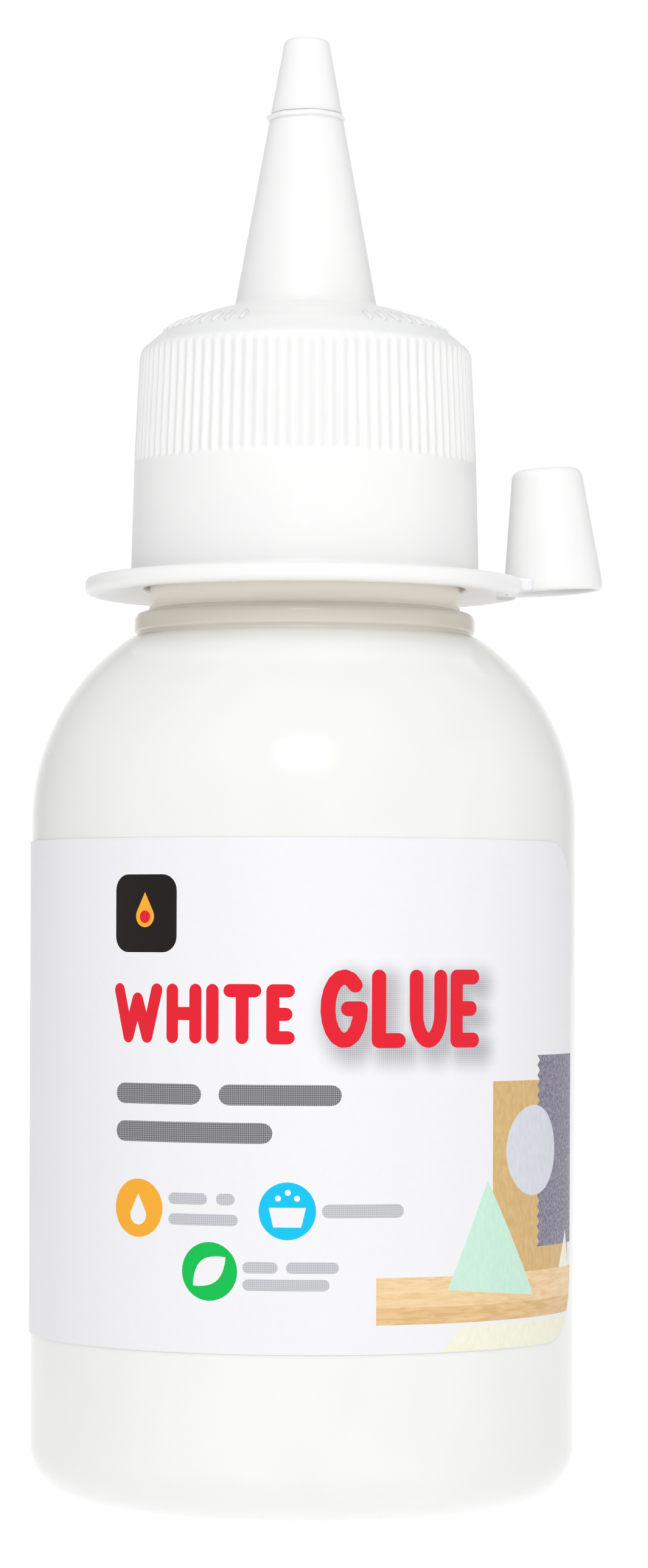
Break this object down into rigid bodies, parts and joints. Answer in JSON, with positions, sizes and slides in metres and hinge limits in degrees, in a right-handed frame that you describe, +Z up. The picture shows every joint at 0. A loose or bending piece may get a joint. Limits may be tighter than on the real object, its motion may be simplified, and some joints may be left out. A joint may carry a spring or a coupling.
{
  "type": "glue applicator bottle",
  "caption": "Round plastic squeeze bottle with a wrap label, a ribbed screw cap with a tapered snip-off nozzle, and a small tip cap held on a flange by a bendable tab.",
  "frame": {"origin": "on the bottle's axis, in the plane of the ring that it stands on", "axes": "+Z up along the bottle's axis, -Y towards the front of the label, +X towards the tip cap"},
  "size_m": [0.0523, 0.05, 0.1334],
  "materials": {
    "bottle_plastic": "smooth, slightly translucent white polyethylene",
    "cap_plastic": "soft white polyethylene with a satin gloss",
    "label_film": "printed white film with a satin varnish",
    "wad_foam": "fine closed-cell foam"
  },
  "bodies": {
    "bottle": {"bottle": "bottle_plastic", "wrap_label": "label_film"},
    "wad": {"sealing_wad": "wad_foam"},
    "cap": {"screw_cap": "cap_plastic", "nozzle_tip": "cap_plastic", "flange_collar": "cap_plastic"},
    "tip_cap": {"tip_cap": "cap_plastic", "tip_cap_tab": "cap_plastic"}
  },
  "joints": [
    {"name": "cap_rise", "type": "slide", "parent": "bottle", "child": "wad", "axis": [0, 0, 1], "range_m": [0, 0.00635]},
    {"name": "cap_turn", "type": "hinge", "parent": "wad", "child": "cap", "pos_m": [0, 0, 0.104], "axis": [0, 0, 1], "range_deg": [0, 541]},
    {"name": "tip_cap_bend", "type": "hinge", "parent": "cap", "child": "tip_cap", "pos_m": [0.01775, 0, 0.0825], "axis": [0, 1, 0], "range_deg": [-12, 65], "stiffness_Nm_per_rad": 0.02}
  ],
  "couplings": [
    {"joint": "cap_turn", "follows": "cap_rise", "rad_per_m": 1484.3}
  ]
}
